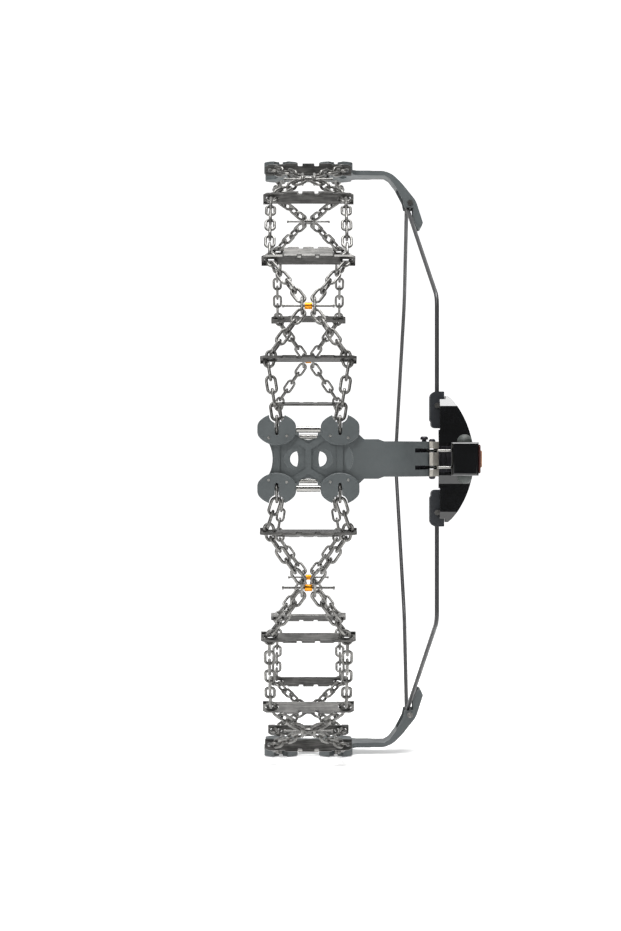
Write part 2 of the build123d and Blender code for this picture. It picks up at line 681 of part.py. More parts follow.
def locking_knob():
    """A mushroom-headed plunger in the front arm's pivot hole."""
    x = PIVOT_AXIAL
    y = -PIVOT_HEIGHT
    knob = rod_along_z(PIVOT_RADIUS, 12.0, ARM_HALF + 3, x, y)
    head = rod_along_z(4.2, ARM_HALF + 2, ARM_HALF + 5.5, x, y)
    head = fillet(head.edges().filter_by(GeomType.CIRCLE).sort_by(Axis.Z)[-1:], 2.0)
    return knob + head


def bow_outline():
    """Crescent plan of the bow, in X and Z."""
    x, z = BOW_SHOULDER
    return make_face(
        Polyline([(x, z), (x - 4, BOW_HALF), (BOW_CHORD, BOW_HALF), (BOW_CHORD, -BOW_HALF),
                  (x - 4, -BOW_HALF), (x, -z)])
        + ThreePointArc((x, -z), (BOW_CREST, 0), (x, z)))


def bow_lip():
    """The front layer's extra width on the inboard side, in X and Z."""
    low = BLOCK_HEIGHT[0] - 2
    lip = Pos((BOW_LIP + BOW_CHORD) / 2 + 1, 0) * Rectangle(BOW_CHORD - BOW_LIP + 2, 2 * BOW_SHOULDER[1])
    lip += Pos((BOW_TONGUE + BOW_CHORD) / 2 + 2.6, 0) * Rectangle(BOW_CHORD - BOW_TONGUE, 2 * low)
    return lip + Pos((BOW_TONGUE + BOW_CHORD) / 2, 0) * Rectangle(BOW_CHORD - BOW_TONGUE, 2 * ARM_HALF + 1)


def bow_face():
    """Side view of the bow in depth and height: its face drops towards both ends."""
    drop, high, low, middle = BOW_RIDGE
    back, front = BOW_DEPTH
    half = BOW_HALF + 1
    right = [(front, 0), (front, middle), (front - drop / 2, low), (front - drop / 2, high),
             (front - 2 * drop, half), (back, half)]
    left = [(depth, -height) for depth, height in reversed(right[1:])]
    return make_face(Polyline(right + left, close=True))


def bow():
    body = Pos(0, -BOW_DEPTH[0], 0) * extrude(Plane.XZ * bow_outline(), BOW_DEPTH[1] - BOW_DEPTH[0])
    body += Pos(0, -BOW_FRONT, 0) * extrude(Plane.XZ * bow_lip(), BOW_DEPTH[1] - BOW_FRONT)
    side_view = Plane(origin=(BOW_TONGUE - 1, 0, 0), x_dir=(0, -1, 0), z_dir=(1, 0, 0))
    face = Plane(side_view.origin, x_dir=(0, -1, 0), z_dir=(-1, 0, 0)) * bow_face()
    body &= extrude(face, -(BOW_CREST + 2 - BOW_TONGUE))
    pivot_x, pivot_z = BLOCK_PIVOT
    back = -BLOCK_DEPTH[0] + 0.4
    for side in (-1, 1):
        z = side * pivot_z
        body += box(pivot_x - 6, BOW_CHORD + 4, back, back + EAR_THICK, z - 7, z + 7)
        body += box(BOW_CHORD, BOW_CHORD + 4, -BOW_DEPTH[0] - 2, back + EAR_THICK, z - 7, z + 7)
        body -= rod_along_y(BLOCK_SCREW_RADIUS + PIN_FIT, back - 1, back + 6, pivot_x, z)
    return body - strap_room()


def strap_room():
    high = DRUM_AXIAL - DRUM_PITCH_RADIUS
    return box(high - STRAP_THICK - 2.0, high + 2.5, -BOW_DEPTH[1] - 5, -BOW_DEPTH[0] + 5,
               -STRAP_HALF - 0.6, STRAP_HALF + 0.6)


def end_block():
    """The upper block: it holds the rod and turns on the bow's screw."""
    low_x, high_x = BLOCK_AXIAL
    low_z, high_z = BLOCK_HEIGHT
    outline = rounded([
        (low_x + 1.4, low_z), (high_x, low_z), (high_x, high_z), (low_x, high_z),
        (low_x, low_z + 9), (low_x + 1.4, low_z + 7)], [4.5, 2.0, 0.8, 7.0, 1.2, 1.2])
    depth = BLOCK_DEPTH[1] - BLOCK_DEPTH[0]
    body = Pos(0, -BLOCK_DEPTH[0], 0) * extrude(Plane.XZ * outline, depth)
    x, z = BLOCK_PIVOT
    body -= rod_along_z(ROD_RADIUS + PIN_FIT, z + BLOCK_SCREW_RADIUS + 1.5, high_z + 1,
                        ROD_AXIAL, -ROD_DEPTH)
    return body - rod_along_y(BLOCK_SCREW_RADIUS + PIN_FIT, -BLOCK_DEPTH[1] - 1, -BLOCK_DEPTH[0] + 1, x, z)


def block_screws():
    x, z = BLOCK_PIVOT
    group = []
    for side in (-1, 1):
        back = -BLOCK_DEPTH[0] + 0.4 + EAR_THICK
        front = -BLOCK_DEPTH[1] - BLOCK_GAP
        shank = rod_along_y(BLOCK_SCREW_RADIUS, front, back, x, side * z)
        head = rod_along_y(BLOCK_SCREW_HEAD[0], front - BLOCK_SCREW_HEAD[1], front, x, side * z)
        group.append(shank + head)
    return group


def ratchet_frame():
    """Two cheeks on a base behind the lever, with a web that holds the guide pins."""
    back = -BOW_DEPTH[1]
    wall = FRAME_WALL
    body = box(FRAME_INNER + wall, FRAME_OUTER, back - wall, back, -FRAME_HALF, FRAME_HALF)
    body += box(FRAME_INNER, FRAME_INNER + FRAME_WEB, -GUIDE_DEPTH - 6, back,
                -FRAME_HALF + 1, FRAME_HALF - 1)
    body += box(FRAME_INNER, FRAME_INNER + 2 * wall, back - wall, back, -FRAME_HALF + 1, FRAME_HALF - 1)
    body += box(NECK_START, FRAME_INNER + 1, -NECK_DEPTH, back, -NECK_HALF, NECK_HALF)
    for x in NECK_GROOVES:
        body -= box(x, x + NECK_GROOVE[0], -NECK_DEPTH - 1, -NECK_DEPTH + NECK_GROOVE[1],
                    -NECK_HALF - 1, NECK_HALF + 1)
    for side in (-1, 1):
        ends = sorted([side * FRAME_HALF, side * (FRAME_HALF - wall)])
        body += box(FRAME_INNER + wall, FRAME_OUTER, -DRUM_DEPTH - 18, back, ends[0], ends[1])
        body -= rod_along_x(GUIDE_RADIUS + PIN_FIT, FRAME_INNER - 1, FRAME_INNER + 2 * wall + 1,
                            -GUIDE_DEPTH, side * GUIDE_SPREAD)
    body -= rod_along_z(AXLE_RADIUS + PIN_FIT, -20, 20, DRUM_AXIAL, -DRUM_DEPTH)
    body -= rod_along_z(PAWL_PIN_RADIUS + PIN_FIT, -20, 20,
                        DRUM_AXIAL + PAWL_OFFSET[0], -DRUM_DEPTH - PAWL_OFFSET[1])
    return body - strap_room()


def lever():
    """The handle: two cheeks outside the frame, joined by a front and an outboard wall."""
    low_x, high_x = LEVER_AXIAL
    inner = FRAME_HALF + LEVER_GAP
    outer = inner + LEVER_WALL
    front = -LEVER_FRONT
    plan = make_face(Polyline([
        (low_x, front), (high_x, front), (high_x, -DRUM_DEPTH - LEVER_FOOT[1]),
        (DRUM_AXIAL + LEVER_EYE, -DRUM_DEPTH), (DRUM_AXIAL - LEVER_EYE, -DRUM_DEPTH),
        (low_x, -DRUM_DEPTH - LEVER_FOOT[0])], close=True))
    plan += Pos(DRUM_AXIAL, -DRUM_DEPTH) * Circle(LEVER_EYE)
    body = Pos(0, 0, -outer) * extrude(plan, 2 * outer)
    body = fillet(body.faces().sort_by(Axis.Y)[0].edges(), LEVER_ROUND)
    back = -DRUM_DEPTH + 12
    body -= box(low_x - 1, high_x - LEVER_WALL, front + LEVER_WALL, back, -inner, inner)
    body -= box(low_x - 1, high_x + 1, -DRUM_DEPTH - LEVER_FOOT[1], back, -inner, inner)
    body -= rod_along_z(AXLE_RADIUS + PIN_FIT, -outer - 1, outer + 1, DRUM_AXIAL, -DRUM_DEPTH)
    return body - button_room(high_x - LEVER_WALL - 1, high_x + 1)


def button_room(x0, x1):
    half_y = BUTTON_HALF[0] + BUTTON_PLAY
    half_z = BUTTON_HALF[1] + BUTTON_PLAY
    return box(x0, x1, -BUTTON_DEPTH - half_y, -BUTTON_DEPTH + half_y, -half_z, half_z)


def lever_cap():
    high_x = LEVER_AXIAL[1]
    cap = box(high_x, high_x + LEVER_CAP, -LEVER_FRONT + 1, -LEVER_FRONT + 24, -15.5, 15.5)
    cap = fillet(cap.edges().filter_by(Axis.X), 3.0)
    return cap - button_room(high_x - 1, high_x + 4)


def release_button():
    high_x = LEVER_AXIAL[1]
    half_y, half_z = BUTTON_HALF
    button = box(high_x - LEVER_WALL - 1.5, high_x + LEVER_CAP + BUTTON_PROUD,
                 -BUTTON_DEPTH - half_y, -BUTTON_DEPTH + half_y, -half_z, half_z)
    return fillet(button.faces().sort_by(Axis.X)[-1].edges(), 1.8)


def drum():
    """A toothed drum whose teeth drive the strap."""
    root = DRUM_PITCH_RADIUS - STRAP_CLEAR
    foot, tip, height = DRUM_TOOTH
    plan = Circle(root)
    for index in range(DRUM_TEETH):
        tooth = make_face(Polyline([
            (root - 1, -foot), (root + height - STRAP_CLEAR, -tip), (root + height - STRAP_CLEAR, tip),
            (root - 1, foot)], close=True))
        plan += Rot(Z=index * 360.0 / DRUM_TEETH) * tooth
    plan -= Circle(AXLE_RADIUS + PIN_FIT)
    body = Pos(0, 0, -DRUM_HALF) * extrude(plan, 2 * DRUM_HALF)
    return Pos(DRUM_AXIAL, -DRUM_DEPTH, 0) * Rot(Z=180) * body


def drum_axle():
    return rod_along_z(AXLE_RADIUS, -AXLE_HALF, AXLE_HALF, DRUM_AXIAL, -DRUM_DEPTH)


def axle_knobs():
    """Domed caps on both ends of the drum's axle."""
    base = FRAME_HALF + LEVER_GAP + LEVER_WALL + 0.3
    group = []
    for side in (-1, 1):
        cap = rod_along_z(KNOB_RADIUS, base, base + KNOB_HEIGHT)
        cap = fillet(cap.edges().filter_by(GeomType.CIRCLE).sort_by(Axis.Z)[-1:], KNOB_RADIUS - 0.4)
        cap -= rod_along_z(AXLE_RADIUS + PIN_FIT, base - 1, AXLE_HALF + 0.1)
        cap = cap if side > 0 else Rot(X=180) * cap
        group.append(Pos(DRUM_AXIAL, -DRUM_DEPTH, 0) * cap)
    return group


def pawl():
    """A sprung pawl whose tip lies between two of the drum's teeth."""
    x = DRUM_AXIAL + PAWL_OFFSET[0]
    y = -DRUM_DEPTH - PAWL_OFFSET[1]
    plan = make_face(Polyline([
        (x - PAWL_REACH, y + 2.2), (x, y - 2.6), (x + 2.4, y + 1.0), (x + 0.6 - PAWL_REACH, y + 3.2)],
        close=True))
    plan += Pos(x, y) * Circle(PAWL_EYE)
    plan -= Pos(x, y) * Circle(PAWL_PIN_RADIUS + PIN_FIT)
    return Pos(0, 0, -PAWL_HALF) * extrude(plan, 2 * PAWL_HALF)


def pawl_pin():
    x, depth = PAWL_OFFSET
    return rod_along_z(PAWL_PIN_RADIUS, -FRAME_HALF, FRAME_HALF, DRUM_AXIAL + x, -DRUM_DEPTH - depth)


def strap():
    """The toothed strap, from its tail in front of the drum to its eye on the bolt adapter."""
    face = DRUM_AXIAL - DRUM_PITCH_RADIUS - STRAP_CLEAR
    back = face - STRAP_THICK
    end = -SOCKET_DEPTH
    body = box(back, face, -STRAP_TAIL, end, -STRAP_HALF, STRAP_HALF)
    body += rod_along_x(STRAP_HALF + 2, back, face, end, 0)
    body -= rod_along_x(STRAP_EYE, back - 1, face + 1, end, 0)
    pitch = 2 * pi * DRUM_PITCH_RADIUS / DRUM_TEETH
    start = -DRUM_DEPTH - pitch / 2 - 6 * pitch
    count = int((-SOCKET_DEPTH - 30 - start) / pitch)
    for index in range(count):
        y = start + index * pitch
        height, half = STRAP_TOOTH
        body += box(face - 0.1, face + height, y - half, y + half, -STRAP_HALF + 1, STRAP_HALF - 1)
    return body


def bolt_adapter():
    """A socket that fits over a wheel bolt, on a stem that swivels in the strap's eye."""
    face = DRUM_AXIAL - DRUM_PITCH_RADIUS - STRAP_CLEAR
    back = face - STRAP_THICK
    y = -SOCKET_DEPTH
    outer = SOCKET_RADIUS + SOCKET_WALL
    body = rod_along_x(outer, SOCKET_MOUTH, SOCKET_MOUTH + SOCKET_HOLE + 6, y, 0)
    body += rod_along_x(STEM_RADIUS, SOCKET_MOUTH + SOCKET_HOLE, back - 0.3, y, 0)
    body += rod_along_x(STRAP_EYE - PIN_FIT, back - 1, face + 1, y, 0)
    body += rod_along_x(STEM_RADIUS, face + 0.3, face + 0.3 + STEM_HEAD, y, 0)
    return body - rod_along_x(SOCKET_RADIUS, SOCKET_MOUTH - 1, SOCKET_MOUTH + SOCKET_HOLE, y, 0)


def mirrored_down(shape):
    return mirror(shape, Plane.XY)


# ---- the files -----------------------------------------------------------------------------------
def build_net():
    outboard = strand(1)
    inboard = strand(-1)
    bar = grip_bar()
    pins = []
    brass = []
    steel = []
    for quarter, name in enumerate(QUARTER_NAMES):
        save([turned(piece, quarter) for piece in outboard], "chain_outer_" + name)
        save([turned(piece, quarter) for piece in inboard], "chain_inner_" + name)
        for number, turn in enumerate(bar_turns(), start=1):
            save(turned(at_turn(bar, turn), quarter), f"grip_bar_{name}_{number}")
        for number, turn in enumerate(cross_turns()):
            pins.append(turned(at_turn(cross_pin(), turn), quarter))
            kept = brass if (number == 0) == (quarter % 2 == 0) else steel
            kept.append(turned(at_turn(spacer(), turn), quarter))
    save(pins, "cross_pins")
    save(brass, "cross_spacers_brass")
    save(steel, "cross_spacers_steel")


def build_plates():
    groups = {"slot_covers": [], "cover_rivets": [], "anchor_pins": [], "anchor_sleeves": []}
    shared = {"slot_covers": slot_covers(), "cover_rivets": rivets(),
              "anchor_pins": anchor_pins(), "anchor_sleeves": anchor_sleeves()}
    plain = plate_body(front=False)
    for quarter, name in enumerate(PLATE_NAMES):
        body = plate_body(front=True) if quarter == 0 else plain
        save(turned(body, quarter), "traction_plate_" + name)
        for group in groups:
            groups[group] += [turned(piece, quarter) for piece in shared[group]]
    for group, pieces in groups.items():
        save(pieces, group)
    save([turned(pivot_pin(), quarter) for quarter in (1, 2, 3)], "bracket_pins")


def build_rods():
    save(front_rod(), "front_rod_upper")
    save(mirrored_down(front_rod()), "front_rod_lower")
    save(back_rod(), "back_rod_upper")
    save(mirrored_down(back_rod()), "back_rod_lower")


def build_tensioner():
    save(crosspiece(), "arm_crosspiece")
    save(arm_studs(), "arm_studs")
    save(locking_knob(), "locking_knob")
    save(guide_pins(), "guide_pins")
    save(slider(), "guide_slider")
    save(bow(), "bow")
    save(end_block(), "end_block_upper")
    save(mirrored_down(end_block()), "end_block_lower")
    save(block_screws(), "block_screws")
    save(ratchet_frame(), "ratchet_frame")
    save(lever(), "ratchet_lever")
    save(lever_cap(), "lever_cap")
    save(release_button(), "release_button")
    save(drum(), "strap_drum")
    save(drum_axle(), "drum_axle")
    save(axle_knobs(), "axle_knobs")
    save(pawl(), "pawl")
    save(pawl_pin(), "pawl_pin")
    save(strap(), "tension_strap")
    save(bolt_adapter(), "bolt_adapter")


os.makedirs("parts", exist_ok=True)
build_net()
build_plates()
build_rods()
build_tensioner()
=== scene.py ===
import json
import math

import bpy
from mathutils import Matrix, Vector


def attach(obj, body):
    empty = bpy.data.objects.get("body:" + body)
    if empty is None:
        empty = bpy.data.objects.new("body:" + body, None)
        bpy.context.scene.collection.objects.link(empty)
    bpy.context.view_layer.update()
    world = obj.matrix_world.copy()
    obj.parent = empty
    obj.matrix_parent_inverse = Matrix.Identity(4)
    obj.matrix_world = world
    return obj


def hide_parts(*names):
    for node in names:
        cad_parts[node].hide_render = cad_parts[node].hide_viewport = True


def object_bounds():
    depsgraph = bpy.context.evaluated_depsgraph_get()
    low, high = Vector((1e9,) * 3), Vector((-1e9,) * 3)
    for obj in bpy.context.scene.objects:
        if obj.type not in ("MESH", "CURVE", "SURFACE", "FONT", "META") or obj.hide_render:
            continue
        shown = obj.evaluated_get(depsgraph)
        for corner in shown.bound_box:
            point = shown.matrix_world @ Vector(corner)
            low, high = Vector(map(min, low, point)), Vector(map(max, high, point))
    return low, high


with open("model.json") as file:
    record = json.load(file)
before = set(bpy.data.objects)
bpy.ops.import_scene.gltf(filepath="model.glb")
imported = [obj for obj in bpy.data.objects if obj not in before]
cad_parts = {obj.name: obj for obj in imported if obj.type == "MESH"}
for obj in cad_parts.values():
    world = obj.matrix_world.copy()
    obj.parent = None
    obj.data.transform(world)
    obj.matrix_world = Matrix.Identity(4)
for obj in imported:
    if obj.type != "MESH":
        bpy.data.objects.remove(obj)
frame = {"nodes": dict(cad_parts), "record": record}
cad_low, cad_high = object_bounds()
nodes = frame["nodes"]

MM = 0.001

# ---- where the camera stands, in metres; its lens and sensor in millimetres ----------------------
CAMERA_DISTANCE = 2.401
CAMERA_LENS = 76.1
CAMERA_SENSOR = 36.0
CAMERA_SHIFT = (0.00225564, -0.00698174)
CAMERA_REACH = 60.0

# ---- the studio ------------------------------------------------------------------------------------
FLOOR_DEPTH = 6.0
FLOOR_GLOW = 0.42
FLOOR_BACK = 1.8
WALL_SIZE = 22.2
WALL_PLACE = 8.0
WALL_GLOW = 1.0
WORLD_LIGHT = 0.10
FLOOR_GAP = 0.2 * MM

# each softbox: its place, what it points at, its size, its power in watts
TOP_SOFTBOX = ((0.1, -0.5, 2.1), (0, -0.1, 0), (1.7, 1.3), 78)
FRONT_SOFTBOX = ((-1.3, -2.3, 1.6), (0, -0.3, 0), (1.0, 1.0), 34)

# ---- how far edges are rounded, in metres -------------------------------------------------------
CAST_EDGE = 0.9 * MM
STAMPED_EDGE = 0.45 * MM
MOULDED_EDGE = 1.3 * MM
SHELL_EDGE = 1.0 * MM
MERGE_DISTANCE = 0.002 * MM
FLAT_WEIGHT = 80
EDGE_ANGLE = math.radians(32)
FLAT_ANGLE = math.radians(0.6)
SHELL_ANGLE = math.radians(15)
SMOOTH_ANGLE = math.radians(40)


# ---- small tools ---------------------------------------------------------------------------------
def deselect():
    if bpy.context.object and bpy.context.object.mode != "OBJECT":
        bpy.ops.object.mode_set(mode="OBJECT")
    bpy.ops.object.select_all(action="DESELECT")


def only(piece):
    """Selects one piece alone and makes it active."""
    deselect()
    piece.select_set(True)
    bpy.context.view_layer.objects.active = piece


def apply_modifiers(piece):
    only(piece)
    for modifier in list(piece.modifiers):
        bpy.ops.object.modifier_apply(modifier=modifier.name)


def round_edges(piece, width, segments=2, sharper_than=EDGE_ANGLE):
    """Bevels a piece's sharp edges, then shades it smooth with flat faces kept flat."""
    bevel = piece.modifiers.new("edges", "BEVEL")
    bevel.width = width
    bevel.segments = segments
    bevel.limit_method = "ANGLE"
    bevel.angle_limit = sharper_than
    bevel.use_clamp_overlap = True
    bevel.harden_normals = False
    apply_modifiers(piece)
    only(piece)
    bpy.ops.object.shade_smooth_by_angle(angle=SMOOTH_ANGLE)
    flats = piece.modifiers.new("flats", "WEIGHTED_NORMAL")
    flats.keep_sharp = True
    flats.weight = FLAT_WEIGHT
    apply_modifiers(piece)


def body_name(node):
    for body, names in frame["record"]["behaviour"]["bodies"].items():
        if node in names:
            return body
    return "root"


def slot_name(node):
    for entry in frame["record"]["subparts"]:
        if entry["node"] == node:
            return entry["material_slot"]
    return None


def dressed_copy(node, name, width, material, segments=2, sharper_than=EDGE_ANGLE):
    """A piece with the node's shape and rounded edges, which stands for the node."""
    source = nodes[node]
    piece = bpy.data.objects.new(name, source.data.copy())
    bpy.context.scene.collection.objects.link(piece)
    piece.matrix_world = source.matrix_world.copy()
    piece.data.materials.clear()
    piece.data.materials.append(material)
    only(piece)
    bpy.ops.object.mode_set(mode="EDIT")
    bpy.ops.mesh.select_all(action="SELECT")
    bpy.ops.mesh.remove_doubles(threshold=MERGE_DISTANCE)
    bpy.ops.mesh.dissolve_limited(angle_limit=FLAT_ANGLE)
    bpy.ops.object.mode_set(mode="OBJECT")
    for polygon in piece.data.polygons:
        polygon.material_index = 0
    round_edges(piece, width, segments, sharper_than)
    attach(piece, body_name(node))
    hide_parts(node)
    return piece


# ---- materials ---------------------------------------------------------------------------------------
def linear(hex_colour):
    """Turns an sRGB hex colour into a linear RGBA one."""
    channels = [int(hex_colour[i:i + 2], 16) / 255 for i in (0, 2, 4)]
    out = [c / 12.92 if c <= 0.04045 else ((c + 0.055) / 1.055) ** 2.4 for c in channels]
    return (*out, 1.0)


def add_node(tree, kind, settings=None, links=None):
    """Adds one shader node, sets its values and joins its inputs."""
    node = tree.nodes.new(kind)
    for key, value in (settings or {}).items():
        if key in node.inputs.keys():
            node.inputs[key].default_value = value
        else:
            setattr(node, key, value)
    for key, source in (links or {}).items():
        tree.links.new(source, node.inputs[key])
    return node


def per_metre(millimetres):
    """Pattern scale whose features are about this many millimetres apart."""
    return 1.0 / (millimetres * MM)


def new_material(name, **shader_values):
    """A material with a Principled shader and object coordinates."""
    material = bpy.data.materials.new(name)
    material.use_nodes = True
    tree = material.node_tree
    shader = tree.nodes["Principled BSDF"]
    for key, value in shader_values.items():
        shader.inputs[key.replace("_", " ")].default_value = value
    place = add_node(tree, "ShaderNodeTexCoord").outputs["Object"]
    return material, tree, shader, place


def noise(tree, place, spacing, detail=4.0, roughness=0.55, stretch=(1, 1, 1)):
    mapping = add_node(tree, "ShaderNodeMapping", {"Scale": stretch}, {"Vector": place})
    settings = {"Scale": per_metre(spacing), "Detail": detail, "Roughness": roughness}
    texture = add_node(tree, "ShaderNodeTexNoise", settings, {"Vector": mapping.outputs["Vector"]})
    return texture.outputs["Fac"]


def spread(tree, value, low, high, out_low=0.0, out_high=1.0):
    """Stretches a value from low..high to out_low..out_high, clamped."""
    settings = {"From Min": low, "From Max": high, "To Min": out_low, "To Max": out_high}
    return add_node(tree, "ShaderNodeMapRange", settings, {"Value": value}).outputs["Result"]


def blend_colours(tree, factor, first, second):
    mix = add_node(tree, "ShaderNodeMix", {"data_type": "RGBA"})
    tree.links.new(factor, mix.inputs["Factor"])
    for key, colour in ((6, first), (7, second)):
        if isinstance(colour, str):
            mix.inputs[key].default_value = linear(colour)
        else:
            tree.links.new(colour, mix.inputs[key])
    return mix.outputs[2]


def bump(tree, shader, height, depth_mm, strength=1.0):
    node = add_node(tree, "ShaderNodeBump", {"Distance": depth_mm * MM, "Strength": strength},
                    {"Height": height})
    tree.links.new(node.outputs["Normal"], shader.inputs["Normal"])


def zinc_plated_chain():
    # Zinc plating on drawn wire: bright bare metal with cloudy dulled patches and small scuffs.
    material, tree, shader, place = new_material("zinc_plated_chain_wire", Metallic=0.85)
    clouds = spread(tree, noise(tree, place, 9.0, 5.0, 0.6), 0.35, 0.68)
    specks = spread(tree, noise(tree, place, 1.2, 3.0, 0.5), 0.5, 0.66)
    dulled = blend_colours(tree, clouds, "8f8e8b", "5f5e5c")
    tree.links.new(blend_colours(tree, specks, dulled, "4a4947"), shader.inputs["Base Color"])
    tree.links.new(spread(tree, clouds, 0, 1, 0.3, 0.52), shader.inputs["Roughness"])
    bump(tree, shader, noise(tree, place, 0.8, 2.0, 0.5), 0.05, 0.5)
    return material


def hardened_bar_steel():
    # Case-hardened strip: darker than the chain, with rolling lines along the bar and bright worn teeth.
    material, tree, shader, place = new_material("case_hardened_strip", Metallic=0.8)
    lines = noise(tree, place, 1.6, 4.0, 0.6, stretch=(0.08, 1, 1))
    patches = spread(tree, noise(tree, place, 14.0, 4.0, 0.6), 0.38, 0.66)
    tone = blend_colours(tree, patches, "4a4948", "333332")
    tree.links.new(blend_colours(tree, spread(tree, lines, 0.42, 0.7, 0, 0.5), tone, "7a7976"),
                   shader.inputs["Base Color"])
    tree.links.new(spread(tree, lines, 0.3, 0.7, 0.34, 0.5), shader.inputs["Roughness"])
    bump(tree, shader, lines, 0.08, 0.6)
    return material


def epoxy_coated_casting():
    # Grey epoxy on a die casting: even satin grey with a very fine orange peel and dusty low patches.
    material, tree, shader, place = new_material("epoxy_coated_casting", Metallic=0.0)
    dust = spread(tree, noise(tree, place, 26.0, 5.0, 0.6), 0.35, 0.7)
    tree.links.new(blend_colours(tree, dust, "4f5455", "474c4d"), shader.inputs["Base Color"])
    tree.links.new(spread(tree, dust, 0, 1, 0.46, 0.58), shader.inputs["Roughness"])
    bump(tree, shader, noise(tree, place, 0.9, 3.0, 0.5), 0.05, 0.45)
    return material


def turned_steel():
    # Turned and plated steel of pins and screws: mid grey with fine turning marks.
    material, tree, shader, place = new_material("turned_pin_steel", Metallic=1.0)
    marks = noise(tree, place, 0.7, 2.0, 0.5, stretch=(1.0, 0.2, 0.2))
    tree.links.new(blend_colours(tree, spread(tree, marks, 0.35, 0.65), "7d7c7a", "5f5e5c"),
                   shader.inputs["Base Color"])
    tree.links.new(spread(tree, marks, 0.3, 0.7, 0.26, 0.42), shader.inputs["Roughness"])
    bump(tree, shader, marks, 0.03, 0.4)
    return material


def polished_tube():
    # Polished stainless tube of the sleeves and guide pins: sharp highlights, faint drawing lines.
    material, tree, shader, place = new_material("polished_stainless_tube", Metallic=1.0)
    lines = noise(tree, place, 0.9, 3.0, 0.5, stretch=(0.04, 1, 1))
    tree.links.new(blend_colours(tree, spread(tree, lines, 0.4, 0.65), "a3a29f", "83827f"),
                   shader.inputs["Base Color"])
    tree.links.new(spread(tree, lines, 0.3, 0.7, 0.16, 0.27), shader.inputs["Roughness"])
    bump(tree, shader, lines, 0.02, 0.3)
    return material


def bright_rivet():
    # Headed steel rivets: bright, slightly burnished domes.
    material, tree, shader, place = new_material("burnished_rivet_steel", Metallic=1.0)
    burnish = noise(tree, place, 0.6, 2.0, 0.5)
    tree.links.new(blend_colours(tree, spread(tree, burnish, 0.35, 0.65), "dcdbd7", "bdbbb6"),
                   shader.inputs["Base Color"])
    tree.links.new(spread(tree, burnish, 0.3, 0.7, 0.2, 0.34), shader.inputs["Roughness"])
    bump(tree, shader, burnish, 0.02, 0.3)
    return material


def brass_bush():
    # Turned brass bush: warm yellow-orange with slight tarnish.
    material, tree, shader, place = new_material("turned_brass_bush", Metallic=1.0)
    tarnish = spread(tree, noise(tree, place, 3.0, 4.0, 0.6), 0.4, 0.7)
    tree.links.new(blend_colours(tree, tarnish, "e0962c", "b8741d"), shader.inputs["Base Color"])
    tree.links.new(spread(tree, tarnish, 0, 1, 0.28, 0.44), shader.inputs["Roughness"])
    bump(tree, shader, noise(tree, place, 0.6, 2.0, 0.5), 0.03, 0.4)
    return material


def black_powder_coat():
    # Black powder coat on the rods: near-black satin with a fine orange peel.
    material, tree, shader, place = new_material("black_powder_coat", Metallic=0.0)
    patches = spread(tree, noise(tree, place, 18.0, 4.0, 0.6), 0.35, 0.7)
    tree.links.new(blend_colours(tree, patches, "343435", "28282a"), shader.inputs["Base Color"])
    tree.links.new(spread(tree, patches, 0, 1, 0.36, 0.48), shader.inputs["Roughness"])
    bump(tree, shader, noise(tree, place, 0.9, 2.0, 0.5), 0.05, 0.5)
    return material


def satin_saddle_metal():
    # Bead-blasted zinc saddle: pale warm grey with a fine grain.
    material, tree, shader, place = new_material("bead_blasted_zinc", Metallic=0.7)
    grain = noise(tree, place, 0.7, 3.0, 0.6)
    tree.links.new(blend_colours(tree, spread(tree, grain, 0.35, 0.65), "c9c5bd", "aaa59c"),
                   shader.inputs["Base Color"])
    tree.links.new(spread(tree, grain, 0.3, 0.7, 0.38, 0.52), shader.inputs["Roughness"])
    bump(tree, shader, grain, 0.04, 0.5)
    return material


def gloss_black_shell():
    # Polished black ABS: deep black, mirror-like softbox reflections, faint mould flow and hairlines.
    material, tree, shader, place = new_material("polished_black_abs", Metallic=0.0, Coat_Weight=0.6)
    shader.inputs["Coat Roughness"].default_value = 0.03
    flow = spread(tree, noise(tree, place, 30.0, 3.0, 0.5), 0.35, 0.7)
    tree.links.new(blend_colours(tree, flow, "08090b", "050607"), shader.inputs["Base Color"])
    hairlines = noise(tree, place, 1.4, 4.0, 0.6, stretch=(1, 1, 0.1))
    tree.links.new(spread(tree, hairlines, 0.3, 0.75, 0.08, 0.16), shader.inputs["Roughness"])
    bump(tree, shader, noise(tree, place, 22.0, 1.0, 0.5), 0.05, 0.3)
    return material


def slate_nylon():
    # Glass-filled nylon of the end blocks: dark slate, matt, with a fine spark-eroded grain.
    material, tree, shader, place = new_material("glass_filled_nylon", Metallic=0.0)
    grain = noise(tree, place, 0.6, 3.0, 0.6)
    patches = spread(tree, noise(tree, place, 12.0, 4.0, 0.6), 0.35, 0.7)
    tree.links.new(blend_colours(tree, patches, "20242a", "181b20"), shader.inputs["Base Color"])
    tree.links.new(spread(tree, grain, 0.3, 0.7, 0.42, 0.58), shader.inputs["Roughness"])
    bump(tree, shader, grain, 0.05, 0.6)
    return material


def black_oxide():
    # Black-oxide steel of the frame and adapter: dark, slightly brown, oily satin.
    material, tree, shader, place = new_material("black_oxide_steel", Metallic=0.6)
    patches = spread(tree, noise(tree, place, 8.0, 5.0, 0.6), 0.35, 0.7)
    tree.links.new(blend_colours(tree, patches, "26262a", "37353a"), shader.inputs["Base Color"])
    tree.links.new(spread(tree, patches, 0, 1, 0.3, 0.46), shader.inputs["Roughness"])
    bump(tree, shader, noise(tree, place, 0.8, 2.0, 0.5), 0.04, 0.5)
    return material


